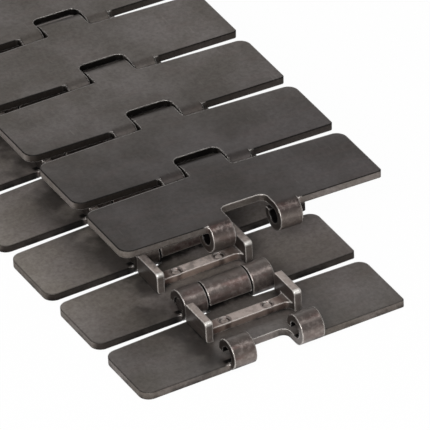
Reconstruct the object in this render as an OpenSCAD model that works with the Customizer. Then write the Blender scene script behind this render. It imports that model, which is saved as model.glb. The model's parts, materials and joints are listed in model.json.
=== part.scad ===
// Side-flexing steel slat top chain: two loose lengths, stacked with their guides inward.
// The lower length lies on its carrying faces; the upper one rests on it, right way up.
// Each link is a stamped slat whose ends are rolled into pin eyes: a fork of two eyes at the
// front and one tongue eye at the rear. A bent guide is welded under each slat, and plain pins
// join tongue to fork.
// A link is drawn in its own frame: X forward from the slat's front edge, Y across the slat,
// Z = 0 on the carrying face and the guide below it.

/* [Chain] */
// Distance from one pin to the next
pitch = 38.1; // [37.9:0.1:39]
// Thickness of the steel of slats and guides
steel_t = 3.1; // [2.9:0.05:3.1]
// Number of links in the lower length
lower_links = 7; // [3:1:8]
// Number of links in the upper length
upper_links = 5; // [2:1:6]

/* [Slat] */
// Width of the slat, across the chain
slat_w = 114.3; // [82.5:0.1:190]
// Length of the slat on the chain's centre line
slat_len = 34; // [33.8:0.1:34.2]
// Angle at which the rear edge runs forward towards the slat's ends
rear_taper = 2.2; // [2:0.1:6]
// Corner radius of the slat
corner_r = 4.5; // [1:0.5:10]
// Corner radius of the front corners that point to the stack's +Y side
crisp_corner_r = 1.2; // [0.5:0.1:5]
// Depth of the notch between the two fork eyes
notch_depth = 9.4; // [9.2:0.1:10.5]
// Corner radius at the bottom of the notch
notch_r = 3; // [1:0.1:3]

/* [Rolled eyes] */
// Distance of the fork's pin axis behind the front edge
fork_setback = 2.2; // [2:0.1:2.4]
// Inner face of a fork eye, from the centre line
fork_inner = 10; // [9.9:0.1:10.5]
// Outer face of a fork eye, from the centre line
fork_outer = 19.7; // [18:0.1:20]
// Half of the tongue's width
tongue_half = 9.2; // [8.5:0.1:9.2]
// Slot left between the rolled end and the slat
roll_gap = 2.5; // [1:0.1:2.5]
// Radius of the fillets where the slat's edge meets an eye
root_r = 1.2; // [0.6:0.1:1.3]
// Largest turn of one link beside the next, to each side
side_flex = 3.6; // [2:0.1:3.6]

/* [Pin] */
// Diameter of the hinge pin
pin_d = 6.35; // [6:0.05:6.4]
// Distance of the pin's end inside the fork eye's outer face
pin_recess = 0.35; // [0.2:0.05:0.8]
// Chamfer on the pin's ends
pin_chamfer = 0.5; // [0.2:0.1:1]
// Running clearance round the pin in the fork eyes
fork_clearance = 0.03; // [0.02:0.01:0.06]
// Running clearance round the pin at the tongue's waist
waist_clearance = 0.08; // [0.08:0.01:0.1]
// Length of the straight waist inside the tongue
waist_len = 2; // [1:0.1:2]

/* [Guide] */
// Length of the guide's legs, along the chain
leg_len = 16; // [10:0.5:16]
// Distance of the legs' middle behind the slat's front edge
guide_setback = 24.1; // [23.5:0.1:24.1]
// Distance between the outer faces of the two legs
guide_w = 42; // [41:0.1:44]
// Reach of the legs below the slat
leg_drop = 9.2; // [7:0.1:9.3]
// Width of the guide's middle strip, along the chain
strip_w = 5; // [4:0.1:8]
// Distance of the strip's middle behind the slat's front edge
strip_setback = 22.5; // [21.5:0.1:24.5]
// Radius where the strip widens into the legs
strip_fillet = 3; // [1:0.5:3]
// Outer radius of the guide's bends
bend_r = 1.5; // [0.5:0.1:2.5]
// Radius of the legs' lower corners
leg_corner_r = 1; // [0.5:0.1:2]
// Distance of the two weld spots from the centre line
weld_spot_y = 9.4; // [6:0.1:12]
// Diameter of a weld spot at the surface
weld_spot_d = 4.2; // [2.5:0.1:4.4]
// Depth of a weld spot
weld_spot_depth = 1; // [0.3:0.1:1.2]

/* [Stack] */
// Distance that the upper length's front edge lies behind the lower one's
upper_back = 54.5; // [54.4:0.1:55]
// Distance that the upper length lies to the side
upper_side = 22.4; // [22.2:0.1:22.6]
// Angle by which the upper length hangs down on that side
upper_tilt = 2.3; // [1.8:0.1:2.4]
// Free height between the eyes of the two lengths, at the outer face of the lower eyes
stack_gap = 0.45; // [0.4:0.05:0.6]

/* [Hidden] */
// Smoothness of curves
$fn = 64;
// How far a cutting tool runs past the steel it cuts
overcut = 1;
// Growth of a corner's sliver, away from the centre of its arc
sliver_growth = 1.1;

eye_r = pin_d / 2 + steel_t;
pin_half = fork_outer - pin_recess;
waist_r = pin_d / 2 + waist_clearance;
flare_r = waist_r + tan(side_flex + 0.7) * (tongue_half - waist_len / 2);
tongue_x = -fork_setback - pitch;

leg_half = guide_w / 2;
leg_inner = leg_half - steel_t;
leg_front = -guide_setback + leg_len / 2;
leg_rear = leg_front - leg_len;
strip_front = -strip_setback + strip_w / 2;
strip_rear = strip_front - strip_w;
strip_face = -2 * steel_t;
leg_tip = -steel_t - leg_drop;

// Distance of the lower eyes' outer face from the upper length's centre line
contact_y = (fork_outer - upper_side + 2 * eye_r * sin(upper_tilt)) / cos(upper_tilt);
// Height of the upper length's carrying face on its centre line
stack_h = 2 * eye_r * (1 + cos(upper_tilt)) + contact_y * sin(upper_tilt) + stack_gap;
// The middle of the stack's footprint, which is the part's origin
front_reach = eye_r - fork_setback;
rear_reach = -(lower_links - 1) * pitch + tongue_x - eye_r;
side_reach = upper_side + cos(upper_tilt) * slat_w / 2;
middle = [(front_reach + rear_reach) / 2, (side_reach - slat_w / 2) / 2, 0];

function names(word, count) = [for (i = [1:count]) str(word, i)];

// X of the slat's rear edge at a distance y from the centre line
function rear_edge(y) = -slat_len + tan(rear_taper) * y;

// The sliver between a corner and its rounding, grown a little past the corner's two edges,
// which leave the corner at the angles edge_a and edge_b. Taken away it rounds an outer corner;
// added it fillets an inner one.
module corner_sliver(corner, edge_a, edge_b, r) {
    half = (edge_b - edge_a) / 2;
    to_corner = -r / sin(half) * [cos(edge_a + half), sin(edge_a + half)];
    to_edge_a = to_corner + r / tan(half) * [cos(edge_a), sin(edge_a)];
    to_edge_b = to_corner + r / tan(half) * [cos(edge_b), sin(edge_b)];
    translate(corner - to_corner) difference() {
        polygon([[0, 0], sliver_growth * to_edge_a, sliver_growth * to_corner, sliver_growth * to_edge_b]);
        circle(r);
    }
}

// Both halves of something that is drawn on the +Y side
module both_sides() {
    children();
    mirror([0, 1, 0]) children();
}

// A round bar along Y
module bar(r, y_from, y_to) {
    translate([0, y_from, 0]) rotate([-90, 0, 0]) cylinder(h = y_to - y_from, r = r);
}

// Plan of a notch that opens towards +X, with two rounded corners at its bottom
module notch(bottom_x, depth, half_w, r) {
    difference() {
        translate([bottom_x, -half_w]) square([depth, 2 * half_w]);
        both_sides() corner_sliver([bottom_x, half_w], -90, 0, r);
    }
}

// Plan of the flat slat with its tongue strip; the crisp front corner is on crisp_side (+1 or -1)
module slat_plan(crisp_side) {
    half_w = slat_w / 2;
    difference() {
        polygon([
            [0, half_w],
            [rear_edge(half_w), half_w],
            [rear_edge(0), 0],
            [rear_edge(half_w), -half_w],
            [0, -half_w]
        ]);
        both_sides() corner_sliver([rear_edge(half_w), half_w], -90 - rear_taper, 0, corner_r);
        mirror([0, (crisp_side + 1) / 2, 0]) corner_sliver([0, half_w], 180, 270, corner_r);
        mirror([0, (1 - crisp_side) / 2, 0]) corner_sliver([0, half_w], 180, 270, crisp_corner_r);
        notch(-notch_depth, notch_depth + overcut, fork_inner, notch_r);
        translate([-fork_setback, -fork_outer]) square([fork_setback + overcut, 2 * fork_outer]);
    }
    translate([tongue_x, -tongue_half]) square([rear_edge(0) - tongue_x + overcut, 2 * tongue_half]);
    both_sides() corner_sliver([rear_edge(tongue_half), tongue_half], 90 - rear_taper, 180, root_r);
}

// Fillet between the slat's front edge and a fork eye, rolled down with the eye
module fork_root() {
    intersection() {
        translate([0, 0, -steel_t]) linear_extrude(steel_t)
            corner_sliver([0, fork_outer], 0, 90, root_r);
        pin_axis(-fork_setback) bar(eye_r, fork_outer, fork_outer + root_r);
    }
}

// Puts its children on the pin axis at x
module pin_axis(x) {
    translate([x, 0, -eye_r]) children();
}

// Slot between the rolled end of an eye and the slat; the roll closes towards side (+1 or -1)
module roll_slot(side, y_from, y_to) {
    z_from = eye_r - steel_t - roll_gap;
    translate([side < 0 ? -eye_r - overcut : 0, y_from, z_from])
        cube([eye_r + overcut, y_to - y_from, roll_gap]);
}

// Bore of the tongue eye: a straight waist that flares both ways, so that the tongue can rock
module tongue_bore() {
    waist_half = waist_len / 2;
    bar(waist_r, -waist_half, waist_half);
    both_sides() translate([0, waist_half, 0]) rotate([-90, 0, 0])
        cylinder(h = tongue_half - waist_half, r1 = waist_r, r2 = flare_r);
    both_sides() bar(flare_r, tongue_half, tongue_half + overcut / 2);
}

// The stamped and rolled slat
module slat(crisp_side) {
    fork_bore_r = pin_d / 2 + fork_clearance;
    difference() {
        union() {
            translate([0, 0, -steel_t]) linear_extrude(steel_t) slat_plan(crisp_side);
            both_sides() {
                pin_axis(-fork_setback) bar(eye_r, fork_inner, fork_outer);
                fork_root();
            }
            pin_axis(tongue_x) bar(eye_r, -tongue_half, tongue_half);
        }
        both_sides() pin_axis(-fork_setback) {
            bar(fork_bore_r, fork_inner - overcut / 2, fork_outer + overcut / 2);
            roll_slot(-1, fork_inner - overcut / 2, fork_outer + overcut);
        }
        pin_axis(tongue_x) {
            tongue_bore();
            roll_slot(1, -tongue_half - overcut, tongue_half + overcut);
        }
    }
}

// Plan of the guide: a notch from each end leaves a narrow strip that widens into the two legs
module guide_plan() {
    difference() {
        translate([leg_rear, -leg_half]) square([leg_len, guide_w]);
        notch(strip_front, leg_len, leg_inner, strip_fillet);
        mirror([1, 0, 0]) notch(-strip_rear, leg_len, leg_inner, strip_fillet);
    }
}

// The guide seen along the chain, Y to the right and Z up
module guide_profile() {
    difference() {
        translate([-leg_half, leg_tip]) square([guide_w, leg_drop]);
        translate([-leg_inner, leg_tip - overcut])
            square([2 * leg_inner, strip_face - leg_tip + overcut]);
        corner_sliver([leg_half, -steel_t], 180, 270, bend_r);
        corner_sliver([-leg_half, -steel_t], 270, 360, bend_r);
    }
}

// A leg's lower corners, as slivers to take away
module leg_corners() {
    translate([0, leg_half + overcut, 0]) rotate([90, 0, 0])
        linear_extrude(guide_w + 2 * overcut) {
            corner_sliver([leg_front, leg_tip], 90, 180, leg_corner_r);
            corner_sliver([leg_rear, leg_tip], 0, 90, leg_corner_r);
        }
}

// The bent guide
module guide() {
    difference() {
        intersection() {
            translate([0, 0, leg_tip]) linear_extrude(leg_drop) guide_plan();
            translate([leg_rear, 0, 0]) rotate([90, 0, 90]) linear_extrude(leg_len) guide_profile();
        }
        leg_corners();
        both_sides() translate([-strip_setback, weld_spot_y, strip_face])
            cylinder(h = weld_spot_depth, d1 = weld_spot_d, d2 = weld_spot_d - weld_spot_depth);
    }
}

// The pin that joins a link's fork to the tongue of the link ahead
module pin() {
    straight = pin_half - pin_chamfer;
    tip_r = pin_d / 2 - pin_chamfer;
    pin_axis(-fork_setback) {
        bar(pin_d / 2, -straight, straight);
        both_sides() translate([0, straight, 0]) rotate([-90, 0, 0])
            cylinder(h = pin_chamfer, r1 = pin_d / 2, r2 = tip_r);
    }
}

// Places link number i of the lower length, upside down
module in_lower(i) {
    translate(-middle) translate([-(i - 1) * pitch, 0, 0]) rotate([180, 0, 0]) children();
}

// Places link number i of the upper length
module in_upper(i) {
    translate([-upper_back, upper_side, stack_h] - middle) rotate([-upper_tilt, 0, 0])
        translate([-(i - 1) * pitch, 0, 0]) children();
}

module lower_slat(i) {
    color("#57534f") in_lower(i) slat(-1);
}

module lower_guide(i) {
    color("#7d7470") in_lower(i) guide();
}

// Pin i sits in the fork of link i + 1
module lower_pin(i) {
    color("#8c8783") in_lower(i + 1) pin();
}

module upper_slat(i) {
    color("#4b4846") in_upper(i) slat(1);
}

module upper_guide(i) {
    color("#7d7470") in_upper(i) guide();
}

module upper_pin(i) {
    color("#8c8783") in_upper(i + 1) pin();
}

for (i = [1:lower_links]) lower_slat(i);
for (i = [1:lower_links]) lower_guide(i);
for (i = [1:lower_links - 1]) lower_pin(i);
for (i = [1:upper_links]) upper_slat(i);
for (i = [1:upper_links]) upper_guide(i);
for (i = [1:upper_links - 1]) upper_pin(i);
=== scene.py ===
"""Looks for the slat top chain: steel finishes, a pale floor, soft studio light and the camera."""
import json
import math

import bmesh
import bpy
from mathutils import Matrix, Vector


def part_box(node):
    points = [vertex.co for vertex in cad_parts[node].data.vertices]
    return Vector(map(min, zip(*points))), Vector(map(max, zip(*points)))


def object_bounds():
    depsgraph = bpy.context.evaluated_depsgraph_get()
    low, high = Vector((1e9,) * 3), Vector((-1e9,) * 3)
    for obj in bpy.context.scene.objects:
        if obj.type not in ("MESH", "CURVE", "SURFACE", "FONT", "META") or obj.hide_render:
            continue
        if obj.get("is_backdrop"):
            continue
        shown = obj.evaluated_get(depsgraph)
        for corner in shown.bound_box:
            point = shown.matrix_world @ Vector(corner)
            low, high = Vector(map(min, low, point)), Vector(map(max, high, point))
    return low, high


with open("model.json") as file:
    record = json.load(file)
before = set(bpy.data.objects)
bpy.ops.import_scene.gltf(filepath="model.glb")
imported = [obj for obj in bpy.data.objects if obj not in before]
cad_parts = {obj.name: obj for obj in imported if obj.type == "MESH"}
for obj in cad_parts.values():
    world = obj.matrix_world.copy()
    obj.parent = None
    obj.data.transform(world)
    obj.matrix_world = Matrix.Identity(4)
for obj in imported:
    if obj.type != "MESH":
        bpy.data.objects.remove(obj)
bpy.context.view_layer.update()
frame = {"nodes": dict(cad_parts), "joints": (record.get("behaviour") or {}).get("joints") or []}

MM = 0.001
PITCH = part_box("lower_slat_1")[1][0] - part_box("lower_slat_2")[1][0]
scene = bpy.context.scene


def span(low, high):
    """A stretch, from its two ends in mm."""
    return low * MM, high * MM


def rgb(r, g, b):
    """A colour from its 0 to 255 values, made linear. A tint over 255 lightens."""
    return tuple(((v / 255 + 0.055) / 1.055) ** 2.4 for v in (r, g, b)) + (1.0,)


# ---------------------------------------------------------------- places

# Off the centre line, to both sides
NOTCH_SIDE = span(10.5, 12)
KNUCKLE_SIDE = span(20.5, 22)
STRIP_SIDE = span(10, 14)
LIP_SIDE = span(15, 17)
LEG_START = span(17, 18)
HEAT_START, HEAT_END = span(11, 14), span(15.5, 17.5)
SOOT_START, SOOT_END = span(17, 22), span(24, 42)
# Off the centre line, towards +Y
SOOT_TURN = span(-5, 5)
WIPED_SIDE = span(12, 40)
# Behind the front of a point's own link
NOTCH_REAR = span(9, 14)
KNUCKLE_REAR = span(10, 13)
# Behind the front end of the length: past its first knuckles and past its first guide
PAST_KNUCKLES = span(14, 20)
PAST_GUIDE = span(40, 46)
WIPED_START = span(14, 24)
# From the pin's axis: the bore's wall, and the outside of the roll
BORE_WALL = span(3.25, 3.45)
ROLL_OUTSIDE = span(6.6, 7.0)
# A weld spot: how far behind the front and off the centre it is, its ring and the ring's burnt edge
WELD_BEHIND, WELD_OFF, WELD_RADIUS = 26.6 * MM, 9.4 * MM, 2.1 * MM
BURNT_EDGE = span(0.3, 1.1)
# From the front corner of a guide leg's free end, where a highlight is painted
TIP_REACH = span(0.7, 1.9)
# The way that the rims with the darkest painted reflection look, to the front and a little to -Y
AHEAD = (0.88, -0.47, 0.0)


# ---------------------------------------------------------------- colours

BRIGHT = rgb(224, 218, 212)
SHINE = rgb(190, 178, 172)
REAR_RIM = rgb(205, 199, 194)
TORN = rgb(206, 198, 192)
TIP = rgb(250, 246, 240)
RUBBED, RUBBED_FIRST = rgb(228, 212, 204), rgb(166, 152, 145)
BROWN = rgb(101, 80, 76)
HEAT = rgb(104, 78, 68)
BURNT = rgb(62, 44, 40)
SOOT = rgb(40, 36, 34)
GRIME_BLACK = rgb(14, 13, 12)
BORE_BLACK = rgb(10, 9, 9)
# Tints, which a colour is multiplied by
CLOUD_TINT, FLECK_TINT, SPECK_TINT = rgb(226, 226, 212), rgb(166, 154, 150), rgb(176, 170, 168)
RIM_TINT = rgb(64, 61, 59)
GAP_TINT = rgb(126, 122, 120)
NOTCH_TINT = rgb(70, 66, 64)
WIPED_TINT = rgb(274, 274, 276)
LIP_TINT = rgb(250, 236, 228)
CHEEK_TINT = {"slat": rgb(196, 194, 192), "guide": rgb(178, 175, 174), "pin": rgb(178, 175, 174)}


# ---------------------------------------------------------------- node helpers

class Tree:
    """Short ways to add and link the nodes of a material or a group."""

    def __init__(self, tree):
        self.tree = tree

    def put(self, socket, value):
        """Links a socket, or sets its value."""
        if isinstance(value, bpy.types.NodeSocket):
            self.tree.links.new(value, socket)
        elif value is not None:
            socket.default_value = value

    def add(self, kind, **inputs):
        """Adds a node; inputs are its sockets' names, with _ for a space."""
        node = self.tree.nodes.new(kind)
        for name, value in inputs.items():
            self.put(node.inputs[name.replace("_", " ")], value)
        return node

    def use(self, group, **inputs):
        """Adds a shared effect and returns what it puts out."""
        node = self.tree.nodes.new("ShaderNodeGroup")
        node.node_tree = group
        for name, value in inputs.items():
            self.put(node.inputs[name], value)
        return node.outputs

    def math(self, operation, a, b=None, clamp=False):
        node = self.tree.nodes.new("ShaderNodeMath")
        node.operation = operation
        node.use_clamp = clamp
        self.put(node.inputs[0], a)
        self.put(node.inputs[1], b)
        return node.outputs[0]

    def product(self, first, *others):
        """All the values multiplied together."""
        for value in others:
            first = self.math("MULTIPLY", first, value)
        return first

    def most(self, a, b):
        return self.math("MAXIMUM", a, b)

    def rest(self, value):
        """What a mask leaves free."""
        return self.math("SUBTRACT", 1.0, value)

    def distance(self, a, b):
        """The distance that two offsets at right angles make."""
        return self.math("SQRT", self.math("ADD", self.product(a, a), self.product(b, b)))

    def vector(self, operation, a, b=None):
        """A vector sum; its number comes out where it has one, else its vector."""
        node = self.tree.nodes.new("ShaderNodeVectorMath")
        node.operation = operation
        self.put(node.inputs[0], a)
        self.put(node.inputs[1], b)
        return node.outputs["Value" if operation in ("LENGTH", "DOT_PRODUCT") else "Vector"]

    def parts(self, vector):
        """A vector's X, Y and Z."""
        return self.add("ShaderNodeSeparateXYZ", Vector=vector).outputs

    def ramp(self, value, low, high, to_low=0.0, to_high=1.0):
        """A smooth step from to_low at low to to_high at high."""
        node = self.tree.nodes.new("ShaderNodeMapRange")
        node.interpolation_type = "SMOOTHSTEP"
        for socket, v in zip(node.inputs, (value, low, high, to_low, to_high)):
            self.put(socket, v)
        return node.outputs[0]

    def fade(self, value, low, high):
        """A smooth step from 1 at low to 0 at high."""
        return self.ramp(value, low, high, 1.0, 0.0)

    def mix(self, factor, a, b, blend="MIX"):
        node = self.tree.nodes.new("ShaderNodeMix")
        node.data_type = "RGBA"
        node.blend_type = blend
        self.put(node.inputs[0], factor)
        self.put(node.inputs[6], a)
        self.put(node.inputs[7], b)
        return node.outputs[2]

    def tint(self, factor, colour, by):
        """A colour that is multiplied by a tint where factor says."""
        return self.mix(factor, colour, self.mix(1.0, colour, by, "MULTIPLY"))

    def noise(self, point, scale, detail=3.0, rough=0.55):
        """Noise with a size in cells per metre."""
        node = self.add("ShaderNodeTexNoise", Vector=point, Scale=scale, Detail=detail, Roughness=rough)
        return node.outputs["Fac"]


def new_material(name):
    """An empty material and its tree."""
    material = bpy.data.materials.new(name)
    material.use_nodes = True
    material.node_tree.nodes.clear()
    return material, material.node_tree


def new_group(name, inputs, outputs):
    """Starts a node group; inputs and outputs are (name, socket type, default) rows."""
    group = bpy.data.node_groups.new(name, "ShaderNodeTree")
    for direction, rows in (("INPUT", inputs), ("OUTPUT", outputs)):
        for label, kind, default in rows:
            socket = group.interface.new_socket(label, in_out=direction, socket_type=kind)
            if default is not None:
                socket.default_value = default
    return Tree(group), group.nodes.new("NodeGroupInput").outputs, group.nodes.new("NodeGroupOutput").inputs


# ---------------------------------------------------------------- shared effects

FLOAT, VECTOR = "NodeSocketFloat", "NodeSocketVector"


def edge_group():
    """Masks of edges for wear, painted highlights and painted dark rims, and the normal of steel whose
    edges are rounded off.

    Crest and Band are a narrow and a wide stretch beside every edge, and Corner marks only sharp
    corners. Rise and Ahead say how far the rounded face looks up and the AHEAD way.
    """
    t, i, o = new_group("edge_masks", [("Ragged", FLOAT, 0.5), ("Radius", FLOAT, 0.7 * MM)],
                        [("Crest", FLOAT, None), ("Band", FLOAT, None), ("Corner", FLOAT, None),
                         ("Rise", FLOAT, None), ("Ahead", FLOAT, None), ("Normal", VECTOR, None)])
    point = t.add("ShaderNodeTexCoord").outputs["Object"]
    flat = t.add("ShaderNodeNewGeometry").outputs["Normal"]
    ragged = t.math("SUBTRACT", t.noise(point, 900, 3), 0.5)
    ragged = t.math("ADD", 1.0, t.product(ragged, i["Ragged"]))
    for label, radius, low, high in (("Crest", 0.6 * MM, 0.02, 0.12), ("Band", 1.5 * MM, 0.004, 0.04),
                                     ("Corner", 2.0 * MM, 0.29, 0.35)):
        bevel = t.add("ShaderNodeBevel", Radius=radius)
        bevel.samples = 6
        bend = t.rest(t.vector("DOT_PRODUCT", bevel.outputs[0], flat))
        t.put(o[label], t.ramp(t.product(bend, ragged), low, high))
    soft = t.add("ShaderNodeBevel", Radius=i["Radius"])
    soft.samples = 8
    own = t.add("ShaderNodeVectorTransform", Vector=soft.outputs[0])
    own.vector_type, own.convert_from, own.convert_to = "NORMAL", "WORLD", "OBJECT"
    t.put(o["Rise"], t.parts(own.outputs[0])["Z"])
    t.put(o["Ahead"], t.vector("DOT_PRODUCT", own.outputs[0], AHEAD))
    t.put(o["Normal"], soft.outputs[0])
    return t.tree


def grime_group():
    """Mask of painted shade in corners and beside raised steel, taken from ambient occlusion."""
    t, i, o = new_group("grime", [("Reach", FLOAT, 6 * MM)], [("Mask", FLOAT, None)])
    point = t.add("ShaderNodeTexCoord").outputs["Object"]
    hollow = t.add("ShaderNodeAmbientOcclusion", Distance=i["Reach"])
    hollow.samples = 8
    spread = t.ramp(t.noise(point, 160, 4), 0.3, 0.7, 0.6, 1.35)
    t.put(o["Mask"], t.ramp(t.product(t.rest(hollow.outputs["AO"]), spread), 0.2, 0.85))
    return t.tree


def mottle_group():
    """Slow and fine colour variation of rolled steel, and its fine grain for the bump."""
    t, _, o = new_group("mottle", [], [("Cloud", FLOAT, None), ("Fleck", FLOAT, None),
                                       ("Smear", FLOAT, None), ("Grain", FLOAT, None)])
    point = t.add("ShaderNodeTexCoord").outputs["Object"]
    t.put(o["Cloud"], t.ramp(t.noise(point, 38, 3), 0.3, 0.7))
    t.put(o["Fleck"], t.ramp(t.noise(point, 420, 4, 0.7), 0.35, 0.72))
    along = t.add("ShaderNodeMapping", Vector=point)
    along.inputs["Scale"].default_value = (1.0, 0.22, 1.0)
    t.put(o["Smear"], t.ramp(t.noise(along.outputs[0], 260, 4, 0.6), 0.42, 0.75))
    fine = t.noise(along.outputs[0], 1500, 3, 0.7)
    t.put(o["Grain"], t.math("ADD", t.product(fine, 0.5), t.noise(point, 700, 3, 0.7)))
    return t.tree


def scratch_group():
    """Mask of thin scratches that run the chain's way and a few that cross it."""
    t, i, o = new_group("scratches", [("Amount", FLOAT, 0.5)], [("Mask", FLOAT, None)])
    point = t.add("ShaderNodeTexCoord").outputs["Object"]
    lines = []
    for turn, stretch in ((0.06, 0.05), (1.35, 0.07)):
        place = t.add("ShaderNodeMapping", Vector=point)
        place.inputs["Rotation"].default_value = (0, 0, turn)
        place.inputs["Scale"].default_value = (stretch, 1.0, 0.4)
        lines.append(t.ramp(t.noise(place.outputs[0], 900, 2, 0.8), 0.66, 0.74))
    patch = t.ramp(t.noise(point, 70, 2), 0.45, 0.65)
    t.put(o["Mask"], t.product(t.most(*lines), patch, i["Amount"]))
    return t.tree


EDGE, GRIME, MOTTLE, SCRATCH = edge_group(), grime_group(), mottle_group(), scratch_group()


# ---------------------------------------------------------------- the two lengths of chain

class Length:
    """Facts of one length of chain, for its finishes.

    way is 1 where its guides stand up and -1 where they hang down. soot says how dark the
    painted shade beside the guides is, line how dark the painted reflection on its slats' outer rims
    is, oiled is the darker colour of its front slats and oil the stretch in which it
    gives way to the lighter colour behind them, a painted light gradient along the length.
    level_film is the share of the knuckles' film that level steel has, which also
    stands in for a greyer reflection on level faces. front_wiped says how far the very front gets
    the painted light on the +Y side, as the steel behind it does. inner_wear is the share of film,
    wear and painted edge highlight on all knuckles but the first ones; what it leaves gives their
    closed notches painted shade.
    """

    def __init__(self, length, way, soot, line, oiled, oil, level_film, front_wiped, inner_wear):
        low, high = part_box(length + "_slat_1")
        guide_low, guide_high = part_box(length + "_guide_1")
        joint = next(j for j in frame["joints"] if j["name"] == length + "_flex_1")
        self.centre, self.front = (low[1] + high[1]) / 2, high[0]
        self.axis, self.axis_point = joint["axis"], joint["pos_m"]
        self.axis_behind = (high[0] - joint["pos_m"][0]) % PITCH
        self.tip_behind = high[0] - guide_high[0]
        self.tip_level = guide_high[2] if way > 0 else guide_low[2]
        self.way, self.soot, self.line, self.oiled, self.oil = way, soot, line, oiled, oil
        self.level_film, self.front_wiped, self.inner_wear = level_film, front_wiped, inner_wear


# ---------------------------------------------------------------- steel

class Steel(Tree):
    """The nodes of one steel finish, with the places and masks that its layers share."""

    def __init__(self, name, chain):
        self.material, tree = new_material(name)
        super().__init__(tree)
        self.chain = chain
        coord = self.add("ShaderNodeTexCoord")
        self.point = coord.outputs["Object"]
        self.normal = self.parts(coord.outputs["Normal"])
        self.edge = self.use(EDGE, Ragged=0.9, Radius=1.0 * MM)
        self.grime = self.use(GRIME)["Mask"]
        self.mottle = self.use(MOTTLE)
        self.scratches = self.use(SCRATCH, Amount=0.5)["Mask"]
        self.up = self.math("ABSOLUTE", self.edge["Rise"])
        self.standing = self.fade(self.up, 0.3, 0.75)
        place = self.parts(self.point)
        self.height = place["Z"]
        self.side = self.math("SUBTRACT", place["Y"], chain.centre)
        self.off = self.math("ABSOLUTE", self.side)
        self.behind = self.math("SUBTRACT", chain.front, place["X"])
        self.in_link = self.math("MODULO", self.behind, PITCH)
        # masks that only a slat or a guide has, which their own functions fill in: near and outer
        # divide a slat into its knuckles' stretch and its outer plates
        self.near, self.outer, self.kept_wear = 1.0, 0.0, 1.0
        self.knuckle = self.bore = self.foot = self.bare = self.tip = 0.0


def slat_places(s):
    """Fills in a slat's masks: its knuckles, their bores for the painted shade in them, its outer plates
    and its lower rim for a painted highlight.
    """
    s.near = s.fade(s.off, *KNUCKLE_SIDE)
    s.outer = s.rest(s.near)
    s.kept_wear = s.ramp(s.behind, *PAST_KNUCKLES, 1.0, s.chain.inner_wear)
    # the knuckles' brown film is real, but its share is set by which way the face looks, browner to the
    # front and greyer on level faces: a painted reflection
    s.knuckle = s.product(s.near, s.fade(s.in_link, *KNUCKLE_REAR),
                          s.ramp(s.up, 0.93, 0.995, 1.0, s.chain.level_film),
                          s.ramp(s.normal["X"], -0.3, 0.6, 0.45, 1.0), s.kept_wear)
    # every link's axis is the first pin's, moved back by whole pitches
    half = PITCH / 2
    from_pin = s.math("ADD", s.in_link, half - s.chain.axis_behind)
    from_pin = s.math("SUBTRACT", s.math("MODULO", from_pin, PITCH), half)
    arm = s.parts(s.vector("SUBTRACT", s.point, s.chain.axis_point))
    arm = s.add("ShaderNodeCombineXYZ", X=from_pin, Y=arm["Y"], Z=arm["Z"]).outputs[0]
    s.from_axis = s.vector("LENGTH", s.vector("CROSS_PRODUCT", arm, s.chain.axis))
    s.bore = s.product(s.near, s.fade(s.from_axis, *BORE_WALL))
    # a painted highlight along the lower rims of the outer plates
    s.foot = s.product(s.edge["Crest"], s.ramp(s.edge["Rise"], -0.55, -0.15, 0.8, 0.0), s.outer)


def slat_marks(s, colour):
    """Adds a slat's own marks to its colour, with painted sheen, shade, reflections and highlights among
    them.
    """
    # painted sheen: lighter patches on the knuckles
    shiny = s.product(s.knuckle, s.ramp(s.mottle["Fleck"], 0.2, 0.9), 0.26)
    colour = s.mix(shiny, colour, SHINE)

    # painted shade beside the guides, in patches, darkest on the -Y side
    gather = s.product(s.ramp(s.off, *SOOT_START), s.fade(s.off, *SOOT_END),
                       s.ramp(s.side, *SOOT_TURN, 1.0, 0.25))
    patch = s.ramp(s.noise(s.point, 55, 3), 0.36, 0.56)
    colour = s.mix(s.product(patch, gather, s.chain.soot), colour, SOOT)

    # painted light: dark reflections on the front rims and highlights on the rear rims of the outer plates,
    # and painted shade on the edges of the closed notches
    raised, level = s.ramp(s.up, 0.2, 0.5), s.ramp(s.up, 0.8, 0.95)
    rounding = s.product(raised, s.fade(s.up, 0.9, 0.985))
    rim = s.product(s.most(rounding, s.product(s.edge["Band"], level)), s.outer, s.chain.line)
    notch = s.product(s.edge["Band"], raised, s.rest(s.kept_wear), s.near)
    dark = s.product(s.most(rim, notch), s.ramp(s.edge["Ahead"], -0.02, 0.12))
    colour = s.tint(dark, colour, RIM_TINT)
    lit = s.product(rounding, s.fade(s.edge["Ahead"], -0.3, -0.08), 0.75, s.outer)
    colour = s.mix(lit, colour, REAR_RIM)

    torn = s.product(s.fade(s.off, *NOTCH_SIDE), s.fade(s.in_link, *NOTCH_REAR), s.standing,
                     s.ramp(s.noise(s.point, 1100, 2), 0.46, 0.6), s.ramp(s.normal["X"], 0.2, 0.6),
                     s.ramp(s.from_axis, *ROLL_OUTSIDE))
    colour = s.mix(torn, colour, TORN)

    # painted shade on the front faces in the gaps between slats, and in the closed notches
    gap = s.product(s.ramp(s.behind, *PAST_KNUCKLES), s.ramp(s.normal["X"], 0.3, 0.8), s.outer)
    colour = s.tint(gap, colour, GAP_TINT)
    closed = s.product(s.rest(s.kept_wear), s.standing, s.near, s.ramp(s.normal["X"], 0.2, 0.5))
    colour = s.tint(closed, colour, NOTCH_TINT)

    # painted light: the level faces on the +Y side are lighter
    wiped = s.product(s.ramp(s.side, *WIPED_SIDE), level,
                      s.ramp(s.behind, *WIPED_START, s.chain.front_wiped, 1.0))
    return s.tint(wiped, colour, WIPED_TINT)


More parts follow.
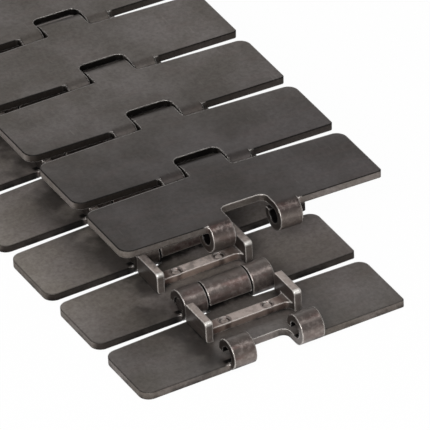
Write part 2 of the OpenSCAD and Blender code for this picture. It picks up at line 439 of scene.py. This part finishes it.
def guide_marks(s, colour):
    """Adds a guide's own marks to its colour, with painted light on the strips behind the first guide, and
    fills in its masks of bare steel and of the painted highlight at its leg tips.
    """
    look = s.product(s.normal["Z"], float(s.chain.way))
    worn_side = s.most(s.ramp(s.off, *STRIP_SIDE, 1.0, 0.35), s.ramp(s.off, *LEG_START, 0.0, 0.75))
    s.bare = s.product(s.ramp(look, 0.8, 0.95), s.ramp(s.mottle["Fleck"], 0.0, 1.0, 1.0, 0.5), worn_side)
    # the bare strips behind the first guide are painted lighter, a painted light that makes up for the
    # shade they lie in
    clean = s.mix(s.ramp(s.behind, *PAST_GUIDE), RUBBED_FIRST, RUBBED)
    colour = s.mix(s.bare, colour, clean)
    lip = s.product(s.ramp(s.off, *LIP_SIDE, 0.5, 0.0), s.ramp(s.normal["X"], 0.5, 0.85))
    colour = s.mix(lip, colour, s.mix(1.0, clean, LIP_TINT, "MULTIPLY"))

    heat = s.product(s.ramp(s.off, *HEAT_START), s.fade(s.off, *HEAT_END),
                     s.ramp(s.mottle["Cloud"], 0.0, 1.0, 0.35, 0.75))
    colour = s.mix(heat, colour, HEAT)
    from_weld = s.distance(s.math("SUBTRACT", s.in_link, WELD_BEHIND), s.math("SUBTRACT", s.off, WELD_OFF))
    from_ring = s.math("ABSOLUTE", s.math("SUBTRACT", from_weld, WELD_RADIUS))
    burnt = s.product(s.fade(from_ring, *BURNT_EDGE), s.ramp(s.noise(s.point, 500, 3), 0.3, 0.6, 0.5, 1.0))
    colour = s.mix(s.product(burnt, 0.8), colour, BURNT)

    # a painted highlight on the front corner of each leg's free end
    from_tip = s.distance(s.math("SUBTRACT", s.in_link, s.chain.tip_behind),
                          s.math("SUBTRACT", s.height, s.chain.tip_level))
    s.tip = s.product(s.fade(from_tip, *TIP_REACH), s.ramp(s.mottle["Fleck"], 0.0, 0.7, 0.6, 1.0))
    return s.mix(s.tip, colour, TIP)


def steel(name, chain, kind, flat, upright, film, metal, rough):
    """The steel finish of slats, guides or pins.

    flat and upright are the colours of lying and of standing faces; on the slats they differ to
    stand in for the light and reflections that fall on those faces, a painted light. film says how
    much brown film lies on them, metal is the metallic share and rough the roughness.
    """
    s = Steel(name, chain)
    film_place, share = 0.6, metal
    if kind == "slat":
        slat_places(s)
        # painted light: the slats behind the front take a lighter colour than the front slats
        flat = s.mix(s.fade(s.behind, *chain.oil), flat, chain.oiled)
        film_place = s.math("ADD", s.product(s.knuckle, 0.8), 0.12)
        share = s.math("ADD", metal, s.product(s.standing, 0.85 - metal))

    colour = s.mix(s.standing, flat, upright)
    colour = s.tint(s.product(s.mottle["Cloud"], 0.6), colour, CLOUD_TINT)
    colour = s.tint(s.product(s.mottle["Fleck"], 0.3), colour, FLECK_TINT)
    colour = s.tint(s.ramp(s.mottle["Grain"], 0.62, 0.92, 0.0, 0.34), colour, SPECK_TINT)
    smear = s.ramp(s.mottle["Smear"], 0.0, 0.8, 0.3, 1.0)
    colour = s.mix(s.product(smear, film_place, film), colour, BROWN)
    if kind == "slat":
        colour = slat_marks(s, colour)
    cheek = s.product(s.ramp(s.math("ABSOLUTE", s.normal["Y"]), 0.5, 0.85), s.near)
    colour = s.tint(cheek, colour, CHEEK_TINT[kind])
    if kind == "guide":
        colour = guide_marks(s, colour)

    # bright wear on the edges, partly a painted highlight: crests that look ahead are lighter, and sharp
    # corners get a painted highlight
    crest = s.product(s.edge["Crest"], s.ramp(s.edge["Ahead"], -0.2, 0.35, 0.3, 0.95), s.kept_wear)
    worn = s.most(s.product(s.most(crest, s.edge["Corner"]), s.near), s.foot)
    colour = s.mix(s.product(s.scratches, 0.12), colour, BRIGHT)
    colour = s.mix(s.product(worn, 0.85), colour, BRIGHT)
    # painted shade in corners and hollows, less on the bare strips of the guides
    soiled = s.math("SUBTRACT", 0.95, s.product(s.bare, 0.6))
    colour = s.mix(s.product(s.grime, soiled), colour, GRIME_BLACK)
    # painted shade inside the bores, near black
    colour = s.mix(s.product(s.bore, 0.97), colour, BORE_BLACK)

    roughness = s.math("ADD", rough - 0.06, s.product(s.mottle["Cloud"], 0.12))
    for mask, smoother in ((worn, 0.14), (s.most(s.edge["Corner"], s.tip), 0.1), (s.knuckle, 0.06)):
        roughness = s.math("SUBTRACT", roughness, s.product(mask, smoother))
    roughness = s.math("ADD", roughness, s.product(s.standing, s.outer, 0.16))
    roughness = s.math("ADD", roughness, s.product(s.grime, 0.25), True)

    share = s.math("SUBTRACT", share, s.product(s.bare, 0.4), True)
    to_shine = s.math("SUBTRACT", 0.8, share)
    share = s.math("ADD", share, s.product(s.knuckle, 0.8, to_shine))
    share = s.math("SUBTRACT", share, s.product(worn, 0.4), True)

    grain = s.math("SUBTRACT", s.mottle["Grain"], s.product(s.scratches, 0.5))
    bump = s.add("ShaderNodeBump", Strength=0.12, Distance=0.05 * MM, Height=grain, Normal=s.edge["Normal"])
    shader = s.add("ShaderNodeBsdfPrincipled", Base_Color=colour, Roughness=roughness, Metallic=share,
                   Normal=bump.outputs[0])
    s.add("ShaderNodeOutputMaterial", Surface=shader.outputs[0])
    return s.material


lower = Length("lower", 1, soot=0.75, line=0.55, oiled=rgb(100, 95, 92), oil=span(25, 85),
               level_film=0.7, front_wiped=0.0, inner_wear=1.0)
upper = Length("upper", -1, soot=0.0, line=1.0, oiled=rgb(73, 69, 68), oil=span(35, 120),
               level_film=0.12, front_wiped=1.0, inner_wear=0.08)
GUIDE_LOOK = {"flat": rgb(138, 130, 125), "upright": rgb(138, 130, 126),
              "film": 0.4, "metal": 0.6, "rough": 0.34}
PIN_STEEL = rgb(132, 126, 122)
# the pins' finish has no places of its own, so either length serves it
materials = {
    "lower_slat": steel("worn_slat_steel", lower, "slat", flat=rgb(150, 143, 139),
                        upright=rgb(130, 123, 119), film=0.9, metal=0.3, rough=0.42),
    "upper_slat": steel("slat_steel", upper, "slat", flat=rgb(102, 97, 94),
                        upright=rgb(138, 131, 127), film=0.9, metal=0.6, rough=0.42),
    "lower_guide": steel("guide_steel", lower, "guide", **GUIDE_LOOK),
    "upper_guide": steel("upper_guide_steel", upper, "guide", **GUIDE_LOOK),
    "pin": steel("pin_steel", lower, "pin", flat=PIN_STEEL, upright=PIN_STEEL,
                 film=0.3, metal=0.8, rough=0.32),
}


# ---------------------------------------------------------------- the CAD pieces

# corners that lie at one point are joined first, so that the edges can be rounded a little
SAME_POINT = 0.001 * MM
EDGE_ROUNDING = {"slat": 0.4 * MM, "guide": 0.35 * MM, "pin": 0.15 * MM}
SHARP = math.radians(35)

for name, node in frame["nodes"].items():
    length, kind, _ = name.split("_")
    node.data.materials.clear()
    node.data.materials.append(materials["pin" if kind == "pin" else f"{length}_{kind}"])
    node.modifiers.new("weld", "WELD").merge_threshold = SAME_POINT
    bevel = node.modifiers.new("bevel", "BEVEL")
    bevel.width = EDGE_ROUNDING[kind]
    bevel.segments = 2
    bevel.limit_method = "ANGLE"
    bevel.angle_limit = SHARP
    bevel.use_clamp_overlap = True
    node.modifiers.new("normals", "WEIGHTED_NORMAL").keep_sharp = False


# ---------------------------------------------------------------- floor

FLOOR_HALF = 3.0
FLOOR_DROP = 0.02 * MM
PAPER_DARK, PAPER_LIGHT = (0.86, 0.86, 0.86, 1), (0.9, 0.9, 0.9, 1)
WHITE = (1, 1, 1, 1)
PAPER_GLOW = 0.975


def floor_material():
    """Pale paper, which is matte to the light it throws back but looks an even white itself."""
    material, tree = new_material("floor")
    t = Tree(tree)
    path = t.add("ShaderNodeLightPath").outputs
    reflected = t.most(path["Is Glossy Ray"], path["Is Transmission Ray"])
    share = t.product(t.most(path["Is Camera Ray"], reflected), PAPER_GLOW)
    point = t.add("ShaderNodeTexCoord").outputs["Object"]
    matte = t.add("ShaderNodeBsdfDiffuse", Color=t.mix(t.noise(point, 300, 3), PAPER_DARK, PAPER_LIGHT))
    glow = t.add("ShaderNodeEmission", Color=WHITE, Strength=1.0)
    mix = t.tree.nodes.new("ShaderNodeMixShader")
    for socket, value in zip(mix.inputs, (share, matte.outputs[0], glow.outputs[0])):
        t.put(socket, value)
    t.add("ShaderNodeOutputMaterial", Surface=mix.outputs[0])
    return material


low, high = (Vector(v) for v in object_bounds())
middle = (low + high) / 2
mesh = bpy.data.meshes.new("floor")
bm = bmesh.new()
bmesh.ops.create_grid(bm, x_segments=1, y_segments=1, size=FLOOR_HALF)
bm.to_mesh(mesh)
bm.free()
floor = bpy.data.objects.new("floor", mesh)
floor.location = (middle.x, middle.y, low.z - FLOOR_DROP)
floor.data.materials.append(floor_material())
scene.collection.objects.link(floor)
floor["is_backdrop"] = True


# ---------------------------------------------------------------- light

ROOM_GREY = (0.34, 0.34, 0.34, 1)

world = bpy.data.worlds.new("world")
scene.world = world
world.use_nodes = True
world.node_tree.nodes["Background"].inputs["Color"].default_value = ROOM_GREY


def softbox(name, direction, distance, size, power):
    """A soft lamp that looks at the object's middle from a direction.

    Distance and size are in metres, power in watts.
    """
    lamp = bpy.data.lights.new(name, "AREA")
    lamp.shape = "RECTANGLE"
    lamp.size, lamp.size_y = size
    lamp.energy = power
    ob = bpy.data.objects.new(name, lamp)
    way = Vector(direction).normalized()
    ob.location = middle + way * distance
    ob.rotation_euler = way.to_track_quat("Z", "Y").to_euler()
    scene.collection.objects.link(ob)


softbox("key_light", (0.66, -0.52, 0.7), 1.2, (0.8, 0.6), 7)
softbox("back_light", (-0.73, 0.38, 0.58), 0.6, (0.3, 0.2), 0.2)
softbox("streak_light", (0.45, 0.4, 0.8), 1.2, (0.5, 0.3), 1.3)
softbox("side_light", (0.95, -0.65, 0.5), 1.2, (0.5, 0.4), 4)


# ---------------------------------------------------------------- camera

AIM = Vector((42.8, 14.4, 0)) * MM
AZIMUTH, ELEVATION, ROLL = 62.5, 35.2, -3.15
DISTANCE = 3834 * MM
SENSOR, LENS = 36, 825.2    # both in mm, as cameras give them
FARTHEST = 100

a, e, r = (math.radians(v) for v in (AZIMUTH, ELEVATION, ROLL))
back = Vector((math.sin(a) * math.cos(e), -math.cos(a) * math.cos(e), math.sin(e)))
right = Vector((math.cos(a), math.sin(a), 0))
up = back.cross(right)
turned_right = right * math.cos(r) + up * math.sin(r)
turned_up = up * math.cos(r) - right * math.sin(r)
camera = bpy.data.objects.new("camera", bpy.data.cameras.new("camera"))
camera.data.sensor_width, camera.data.lens, camera.data.clip_end = SENSOR, LENS, FARTHEST
camera.matrix_world = Matrix.Translation(AIM + back * DISTANCE) @ Matrix(
    (turned_right, turned_up, back)).transposed().to_4x4()
scene.collection.objects.link(camera)
scene.camera = camera

scene.view_settings.view_transform = "Standard"
